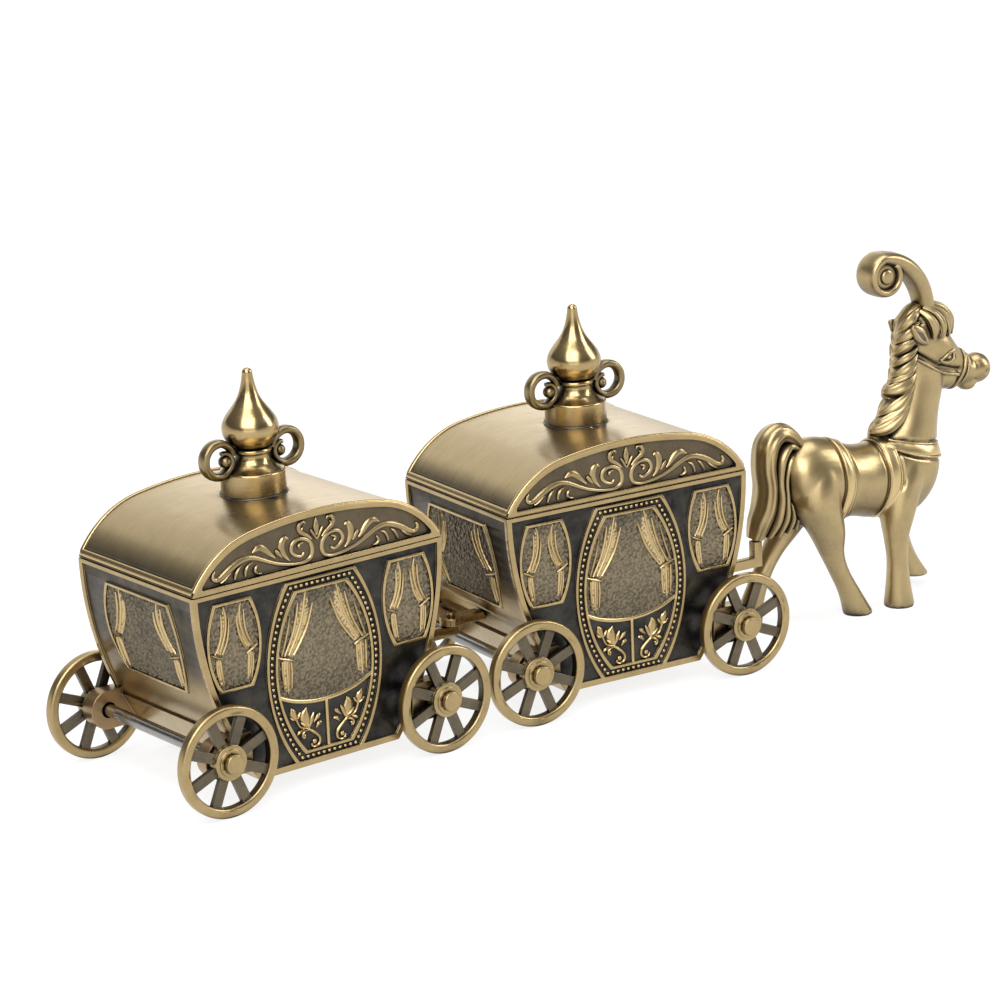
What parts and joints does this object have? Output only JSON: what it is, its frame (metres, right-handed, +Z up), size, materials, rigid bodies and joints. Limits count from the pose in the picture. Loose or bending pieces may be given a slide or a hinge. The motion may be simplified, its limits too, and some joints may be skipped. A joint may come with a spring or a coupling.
{
  "type": "keepsake box",
  "caption": "Cast metal keepsake train: lidded carriage boxes on spoked wheels, coupled in line behind a plumed horse; the lids lift off, the wheels roll and the couplings turn.",
  "frame": {"origin": "middle of the train's bounding box, on the ground", "axes": "+X along the front carriage towards the horse, +Y to the train's left, +Z up"},
  "size_m": [0.2264, 0.0604, 0.079],
  "materials": {
    "carriage_brass": "antique brass plating, dark in the recesses",
    "roof_brass": "antique brass plating, brushed",
    "wheel_brass": "antique brass plating, dark spokes",
    "horse_brass": "antique brass plating, satin",
    "axle_steel": "bright steel rod"
  },
  "bodies": {
    "front_wagon": {"front_box": "carriage_brass", "front_hitch_bar": "carriage_brass", "front_tow_eye": "carriage_brass"},
    "front_lid_set": {"front_lid": "roof_brass", "front_finial": "roof_brass", "front_finial_loops": "roof_brass", "front_finial_screw": "axle_steel"},
    "front_fore_wheelset": {"front_fore_axle": "axle_steel", "front_fore_left_wheel": "wheel_brass", "front_fore_right_wheel": "wheel_brass"},
    "front_aft_wheelset": {"front_aft_axle": "axle_steel", "front_aft_left_wheel": "wheel_brass", "front_aft_right_wheel": "wheel_brass"},
    "rear_wagon": {"rear_box": "carriage_brass", "rear_hitch_bar": "carriage_brass"},
    "rear_lid_set": {"rear_lid": "roof_brass", "rear_finial": "roof_brass", "rear_finial_loops": "roof_brass", "rear_finial_screw": "axle_steel"},
    "rear_fore_wheelset": {"rear_fore_axle": "axle_steel", "rear_fore_left_wheel": "wheel_brass", "rear_fore_right_wheel": "wheel_brass"},
    "rear_aft_wheelset": {"rear_aft_axle": "axle_steel", "rear_aft_left_wheel": "wheel_brass", "rear_aft_right_wheel": "wheel_brass"},
    "plumed_horse": {"horse_body": "horse_brass", "horse_mane": "horse_brass", "horse_plume": "horse_brass", "horse_tail": "horse_brass"}
  },
  "joints": [
    {"name": "front_lid_lift", "type": "slide", "parent": "front_wagon", "child": "front_lid_set", "axis": [0, 0, 1], "range_m": [0, 0.06]},
    {"name": "front_fore_spin", "type": "hinge", "parent": "front_wagon", "child": "front_fore_wheelset", "pos_m": [0.02859, 0.00406, 0.011], "axis": [0, 1, 0], "continuous": true},
    {"name": "front_aft_spin", "type": "hinge", "parent": "front_wagon", "child": "front_aft_wheelset", "pos_m": [-0.02291, 0.00406, 0.011], "axis": [0, 1, 0], "continuous": true},
    {"name": "rear_lid_lift", "type": "slide", "parent": "rear_wagon", "child": "rear_lid_set", "axis": [0, 0, 1], "range_m": [0, 0.06]},
    {"name": "rear_fore_spin", "type": "hinge", "parent": "rear_wagon", "child": "rear_fore_wheelset", "pos_m": [-0.04843, 0.00179, 0.011], "axis": [-0.1132, 0.9936, 0], "continuous": true},
    {"name": "rear_aft_spin", "type": "hinge", "parent": "rear_wagon", "child": "rear_aft_wheelset", "pos_m": [-0.0996, -0.00404, 0.011], "axis": [-0.1132, 0.9936, 0], "continuous": true},
    {"name": "coupling_turn", "type": "hinge", "parent": "front_wagon", "child": "rear_wagon", "pos_m": [-0.02856, 0.00406, 0.0165], "axis": [0, 0, 1], "range_deg": [-14, 1]},
    {"name": "horse_turn", "type": "hinge", "parent": "front_wagon", "child": "plumed_horse", "pos_m": [0.04859, 0.00406, 0.02], "axis": [0, 0, 1], "range_deg": [-30, 30]}
  ]
}
